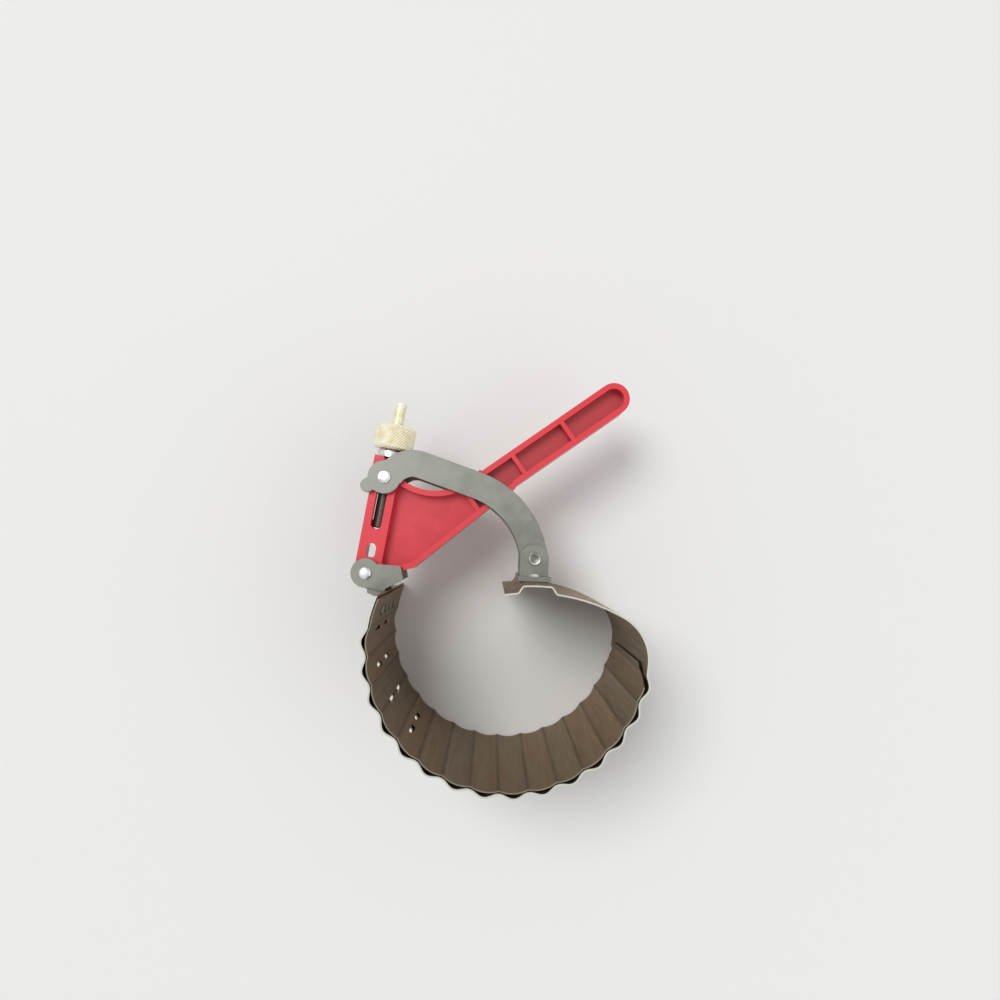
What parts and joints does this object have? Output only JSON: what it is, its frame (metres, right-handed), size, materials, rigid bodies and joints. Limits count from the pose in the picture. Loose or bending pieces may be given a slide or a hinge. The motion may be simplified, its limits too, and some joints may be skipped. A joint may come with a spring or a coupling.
{
  "type": "piston ring compressor",
  "caption": "Hand tool with a ridged spring-steel band that an over-centre lever, a curved arm and a knurled nut draw tight round a piston's rings.",
  "frame": {"origin": "middle of the part's box, on the lower edge of the band", "axes": "+Z along the ring's axis, away from the deck the band stands on; +X and +Y as the picture's right and up, so the picture is a view from above"},
  "size_m": [0.1156, 0.1598, 0.08],
  "materials": {
    "spring_steel": "oiled spring steel",
    "zinc": "satin zinc plate",
    "bright": "bright plated steel",
    "yellow_zinc": "yellow zinc plate",
    "red_plastic": "moulded red, satin gloss"
  },
  "bodies": {
    "band": {"band_fixed_half": "spring_steel", "slotted_strip": "spring_steel", "lever_bracket": "zinc", "lever_bracket_tacks": "bright", "pivot_rivet": "bright", "pivot_washers": "bright"},
    "lever": {"lever": "red_plastic", "pivot_bush": "bright", "thrust_collar": "bright"},
    "adjuster": {"adjusting_screw": "yellow_zinc", "cross_pin": "bright"},
    "nut": {"knurled_nut": "yellow_zinc"},
    "arm": {"front_arm_plate": "zinc", "rear_arm_plate": "zinc", "arm_spacer": "bright"},
    "end_bracket": {"end_bracket": "zinc", "end_rivet": "bright", "end_bracket_tacks": "bright"},
    "band_end": {"band_free_half": "spring_steel", "strip_tongue": "spring_steel"}
  },
  "joints": [
    {"name": "lever_turn", "type": "hinge", "parent": "band", "child": "lever", "pos_m": [-0.05182, 0.00176, 0.04], "axis": [0, 0, 1], "range_deg": [0, 114]},
    {"name": "adjuster_slide", "type": "slide", "parent": "lever", "child": "adjuster", "axis": [0.1908, 0.9816, 0], "range_m": [-0.0125, 0]},
    {"name": "nut_turn", "type": "hinge", "parent": "lever", "child": "nut", "pos_m": [-0.04094, 0.05771, 0.04], "axis": [0.1908, 0.9816, 0], "range_deg": [0, 5625.5]},
    {"name": "arm_swing", "type": "hinge", "parent": "adjuster", "child": "arm", "pos_m": [-0.04419, 0.04103, 0.04], "axis": [0, 0, 1], "range_deg": [-75.07, 0]},
    {"name": "end_swing", "type": "hinge", "parent": "arm", "child": "end_bracket", "pos_m": [0.01708, 0.00761, 0.04], "axis": [0, 0, 1], "range_deg": [-12.73, 0]},
    {"name": "band_flex", "type": "hinge", "parent": "band", "child": "band_end", "pos_m": [0.00236, -0.07749, 0.04], "axis": [0, 0, 1], "range_deg": [0, 26.35], "deforming": ["band_free_half", "band_fixed_half", "slotted_strip", "strip_tongue"]}
  ],
  "couplings": [
    {"joint": "nut_turn", "follows": "adjuster_slide", "rad_per_m": -7854},
    {"joint": "arm_swing", "follows": "lever_turn", "ratio": -0.6581},
    {"joint": "end_swing", "follows": "lever_turn", "ratio": -0.11121},
    {"joint": "band_flex", "follows": "lever_turn", "ratio": 0.23069}
  ]
}
